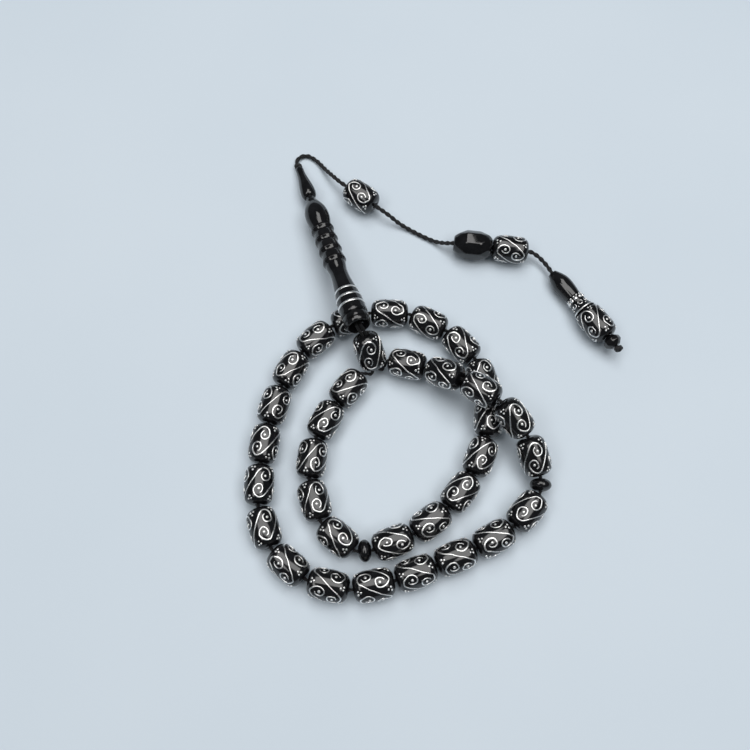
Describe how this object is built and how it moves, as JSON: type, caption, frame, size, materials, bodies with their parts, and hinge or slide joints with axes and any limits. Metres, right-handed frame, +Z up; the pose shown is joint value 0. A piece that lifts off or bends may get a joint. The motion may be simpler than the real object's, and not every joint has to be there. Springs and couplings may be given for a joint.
{
  "type": "prayer beads",
  "caption": "String of barrel-shaped prayer beads with silver inlay, flat separators, a turned headpiece with a finial, and a cord tassel of beads.",
  "frame": {"origin": "middle of the box round the loop and headpiece, on the surface the beads lie on, without the tassel's whip cord and beads", "axes": "+Y towards the headpiece's tip, +Z up from the surface, +X to the right, on the side where the tassel lies"},
  "size_m": [0.1052, 0.1379, 0.017],
  "materials": {
    "black_bead": "polished black bead material with hammered silver wire and dot inlay",
    "smooth_black": "polished black bead material",
    "turned_black": "lathe-turned polished black material with fine turning lines",
    "silver": "bright hand-polished silver",
    "cord": "twisted black waxed cord"
  },
  "bodies": {
    "loop": {"loop_string": "cord"},
    "bead_01": {"bead_01": "black_bead"},
    "bead_02": {"bead_02": "black_bead"},
    "bead_03": {"bead_03": "black_bead"},
    "bead_04": {"bead_04": "black_bead"},
    "bead_05": {"bead_05": "black_bead"},
    "disc_1": {"disc_1": "smooth_black"},
    "bead_06": {"bead_06": "black_bead"},
    "bead_07": {"bead_07": "black_bead"},
    "bead_08": {"bead_08": "black_bead"},
    "bead_09": {"bead_09": "black_bead"},
    "bead_10": {"bead_10": "black_bead"},
    "bead_11": {"bead_11": "black_bead"},
    "bead_12": {"bead_12": "black_bead"},
    "bead_13": {"bead_13": "black_bead"},
    "bead_14": {"bead_14": "black_bead"},
    "bead_15": {"bead_15": "black_bead"},
    "bead_16": {"bead_16": "black_bead"},
    "bead_17": {"bead_17": "black_bead"},
    "bead_18": {"bead_18": "black_bead"},
    "bead_19": {"bead_19": "black_bead"},
    "bead_20": {"bead_20": "black_bead"},
    "bead_21": {"bead_21": "black_bead"},
    "bead_22": {"bead_22": "black_bead"},
    "bead_23": {"bead_23": "black_bead"},
    "bead_24": {"bead_24": "black_bead"},
    "bead_25": {"bead_25": "black_bead"},
    "bead_26": {"bead_26": "black_bead"},
    "bead_27": {"bead_27": "black_bead"},
    "bead_28": {"bead_28": "black_bead"},
    "disc_2": {"disc_2": "smooth_black"},
    "bead_29": {"bead_29": "black_bead"},
    "bead_30": {"bead_30": "black_bead"},
    "bead_31": {"bead_31": "black_bead"},
    "bead_32": {"bead_32": "black_bead"},
    "bead_33": {"bead_33": "black_bead"},
    "gather_bead": {"gather_bead": "black_bead"},
    "imame": {"imame_body": "turned_black", "imame_rings": "silver", "imame_cord": "cord", "inner_knot": "cord", "tip_knot": "cord"},
    "finial": {"imame_finial": "turned_black"},
    "whip": {"whip_cord": "cord", "end_knot": "cord"},
    "tassel_bead_1": {"tassel_bead_1": "black_bead"},
    "faceted_bead": {"faceted_bead": "smooth_black"},
    "tassel_bead_2": {"tassel_bead_2": "black_bead"},
    "olive_bead": {"olive_bead": "smooth_black"},
    "tassel_cap": {"tassel_cap": "black_bead"},
    "tassel_bead_3": {"tassel_bead_3": "black_bead"},
    "end_bead": {"end_bead": "smooth_black"}
  },
  "joints": [
    {"name": "imame_swing", "type": "hinge", "parent": "loop", "child": "imame", "pos_m": [-0.0099, 0.00488, 0.01231], "axis": [0, 0, 1], "range_deg": [-5, 5]},
    {"name": "whip_swing", "type": "hinge", "parent": "imame", "child": "whip", "pos_m": [-0.03073, 0.06681, 0.00112], "axis": [0, 0, 1], "range_deg": [-8, 12]},
    {"name": "tassel_bead_1_slide", "type": "slide", "parent": "whip", "child": "tassel_bead_1", "axis": [0.788, -0.6157, 0], "range_m": [-0.0025, 0.0025]},
    {"name": "finial_spin", "type": "hinge", "parent": "imame", "child": "finial", "pos_m": [-0.02606, 0.05261, 0.004], "axis": [-0.3067, 0.9328, -0.1894], "continuous": true},
    {"name": "faceted_bead_spin", "type": "hinge", "parent": "whip", "child": "faceted_bead", "pos_m": [0.02307, 0.03608, 0.00409], "axis": [0.9925, -0.1219, -0.0067], "continuous": true},
    {"name": "end_bead_spin", "type": "hinge", "parent": "whip", "child": "end_bead", "pos_m": [0.06147, 0.00462, 0.0046], "axis": [0.5429, -0.836, 0.0792], "continuous": true},
    {"name": "gather_bead_spin", "type": "hinge", "parent": "loop", "child": "gather_bead", "pos_m": [-0.00769, 0.00064, 0.00743], "axis": [-0.2869, 0.6759, 0.6788], "continuous": true},
    {"name": "disc_1_spin", "type": "hinge", "parent": "loop", "child": "disc_1", "pos_m": [0.03802, -0.03652, 0.00415], "axis": [-0.0712, -0.9937, -0.0864], "continuous": true},
    {"name": "bead_03_spin", "type": "hinge", "parent": "loop", "child": "bead_03", "pos_m": [0.02239, -0.01218, 0.01151], "axis": [0.8076, -0.5716, 0.1454], "continuous": true},
    {"name": "bead_24_spin", "type": "hinge", "parent": "loop", "child": "bead_24", "pos_m": [0.02511, -0.0178, 0.004], "axis": [-0.0951, -0.9955, 0], "continuous": true},
    {"name": "bead_19_spin", "type": "hinge", "parent": "loop", "child": "bead_19", "pos_m": [-0.01334, 0.01172, 0.004], "axis": [0.9324, 0.3613, 0], "continuous": true},
    {"name": "bead_01_spin", "type": "hinge", "parent": "loop", "child": "bead_01", "pos_m": [0.00295, -0.00236, 0.00492], "axis": [0.9463, -0.2723, 0.1743], "continuous": true},
    {"name": "bead_33_spin", "type": "hinge", "parent": "loop", "child": "bead_33", "pos_m": [-0.01359, -0.00921, 0.004], "axis": [0.6232, 0.7821, 0], "continuous": true},
    {"name": "disc_2_spin", "type": "hinge", "parent": "loop", "child": "disc_2", "pos_m": [-0.00883, -0.05381, 0.004], "axis": [-0.9973, -0.0737, 0], "continuous": true},
    {"name": "olive_bead_spin", "type": "hinge", "parent": "whip", "child": "olive_bead", "pos_m": [0.04936, 0.02327, 0.00283], "axis": [0.5429, -0.836, 0.0792], "continuous": true},
    {"name": "tassel_cap_spin", "type": "hinge", "parent": "whip", "child": "tassel_cap", "pos_m": [0.05351, 0.01687, 0.00344], "axis": [0.5429, -0.836, 0.0792], "continuous": true},
    {"name": "tassel_bead_2_spin", "type": "hinge", "parent": "whip", "child": "tassel_bead_2", "pos_m": [0.03419, 0.03472, 0.00402], "axis": [0.9925, -0.1219, -0.0067], "continuous": true},
    {"name": "tassel_bead_3_spin", "type": "hinge", "parent": "whip", "child": "tassel_bead_3", "pos_m": [0.05758, 0.0106, 0.00403], "axis": [0.5429, -0.836, 0.0792], "continuous": true},
    {"name": "bead_02_spin", "type": "hinge", "parent": "loop", "child": "bead_02", "pos_m": [0.01304, -0.0064, 0.00829], "axis": [0.8114, -0.4274, 0.3987], "continuous": true},
    {"name": "bead_04_spin", "type": "hinge", "parent": "loop", "child": "bead_04", "pos_m": [0.03103, -0.01984, 0.01036], "axis": [0.6178, -0.7146, -0.3282], "continuous": true},
    {"name": "bead_05_spin", "type": "hinge", "parent": "loop", "child": "bead_05", "pos_m": [0.03639, -0.02916, 0.00634], "axis": [0.309, -0.8846, -0.3493], "continuous": true},
    {"name": "bead_06_spin", "type": "hinge", "parent": "loop", "child": "bead_06", "pos_m": [0.03393, -0.04348, 0.004], "axis": [-0.6694, -0.7429, 0], "continuous": true},
    {"name": "bead_07_spin", "type": "hinge", "parent": "loop", "child": "bead_07", "pos_m": [0.02483, -0.05058, 0.004], "axis": [-0.8771, -0.4804, 0], "continuous": true},
    {"name": "bead_08_spin", "type": "hinge", "parent": "loop", "child": "bead_08", "pos_m": [0.01466, -0.05538, 0.004], "axis": [-0.9267, -0.3757, 0], "continuous": true},
    {"name": "bead_09_spin", "type": "hinge", "parent": "loop", "child": "bead_09", "pos_m": [0.00431, -0.05937, 0.004], "axis": [-0.9393, -0.3432, 0], "continuous": true},
    {"name": "bead_10_spin", "type": "hinge", "parent": "loop", "child": "bead_10", "pos_m": [-0.00652, -0.06247, 0.004], "axis": [-0.9801, -0.1985, 0], "continuous": true},
    {"name": "bead_11_spin", "type": "hinge", "parent": "loop", "child": "bead_11", "pos_m": [-0.01807, -0.06244, 0.004], "axis": [-0.977, 0.2131, 0], "continuous": true},
    {"name": "bead_12_spin", "type": "hinge", "parent": "loop", "child": "bead_12", "pos_m": [-0.02848, -0.05735, 0.004], "axis": [-0.7691, 0.6391, 0], "continuous": true},
    {"name": "bead_13_spin", "type": "hinge", "parent": "loop", "child": "bead_13", "pos_m": [-0.0352, -0.04788, 0.004], "axis": [-0.3459, 0.9383, 0], "continuous": true},
    {"name": "bead_14_spin", "type": "hinge", "parent": "loop", "child": "bead_14", "pos_m": [-0.03712, -0.03651, 0.004], "axis": [0.0089, 1, 0], "continuous": true},
    {"name": "bead_15_spin", "type": "hinge", "parent": "loop", "child": "bead_15", "pos_m": [-0.03628, -0.02528, 0.004], "axis": [0.1332, 0.9911, 0], "continuous": true},
    {"name": "bead_16_spin", "type": "hinge", "parent": "loop", "child": "bead_16", "pos_m": [-0.03407, -0.01427, 0.004], "axis": [0.2644, 0.9644, 0], "continuous": true},
    {"name": "bead_17_spin", "type": "hinge", "parent": "loop", "child": "bead_17", "pos_m": [-0.02989, -0.0037, 0.004], "axis": [0.4669, 0.8843, 0], "continuous": true},
    {"name": "bead_18_spin", "type": "hinge", "parent": "loop", "child": "bead_18", "pos_m": [-0.02306, 0.00551, 0.004], "axis": [0.7168, 0.6973, 0], "continuous": true},
    {"name": "bead_20_spin", "type": "hinge", "parent": "loop", "child": "bead_20", "pos_m": [-0.00196, 0.01367, 0.004], "axis": [0.9995, -0.0302, 0], "continuous": true},
    {"name": "bead_21_spin", "type": "hinge", "parent": "loop", "child": "bead_21", "pos_m": [0.00927, 0.01079, 0.004], "axis": [0.8931, -0.4498, 0], "continuous": true},
    {"name": "bead_22_spin", "type": "hinge", "parent": "loop", "child": "bead_22", "pos_m": [0.01843, 0.00383, 0.004], "axis": [0.6692, -0.7431, 0], "continuous": true},
    {"name": "bead_23_spin", "type": "hinge", "parent": "loop", "child": "bead_23", "pos_m": [0.02405, -0.0063, 0.004], "axis": [0.2816, -0.9595, 0], "continuous": true},
    {"name": "bead_25_spin", "type": "hinge", "parent": "loop", "child": "bead_25", "pos_m": [0.02231, -0.02877, 0.004], "axis": [-0.3926, -0.9197, 0], "continuous": true},
    {"name": "bead_26_spin", "type": "hinge", "parent": "loop", "child": "bead_26", "pos_m": [0.01655, -0.03845, 0.004], "axis": [-0.6194, -0.7851, 0], "continuous": true},
    {"name": "bead_27_spin", "type": "hinge", "parent": "loop", "child": "bead_27", "pos_m": [0.00839, -0.04624, 0.004], "axis": [-0.8137, -0.5813, 0], "continuous": true},
    {"name": "bead_28_spin", "type": "hinge", "parent": "loop", "child": "bead_28", "pos_m": [-0.00151, -0.05158, 0.004], "axis": [-0.9322, -0.3619, 0], "continuous": true},
    {"name": "bead_29_spin", "type": "hinge", "parent": "loop", "child": "bead_29", "pos_m": [-0.01589, -0.05034, 0.004], "axis": [-0.777, 0.6295, 0], "continuous": true},
    {"name": "bead_30_spin", "type": "hinge", "parent": "loop", "child": "bead_30", "pos_m": [-0.02219, -0.04073, 0.004], "axis": [-0.2916, 0.9565, 0], "continuous": true},
    {"name": "bead_31_spin", "type": "hinge", "parent": "loop", "child": "bead_31", "pos_m": [-0.0232, -0.02938, 0.004], "axis": [0.1201, 0.9928, 0], "continuous": true},
    {"name": "bead_32_spin", "type": "hinge", "parent": "loop", "child": "bead_32", "pos_m": [-0.01974, -0.01854, 0.004], "axis": [0.4692, 0.8831, 0], "continuous": true}
  ]
}
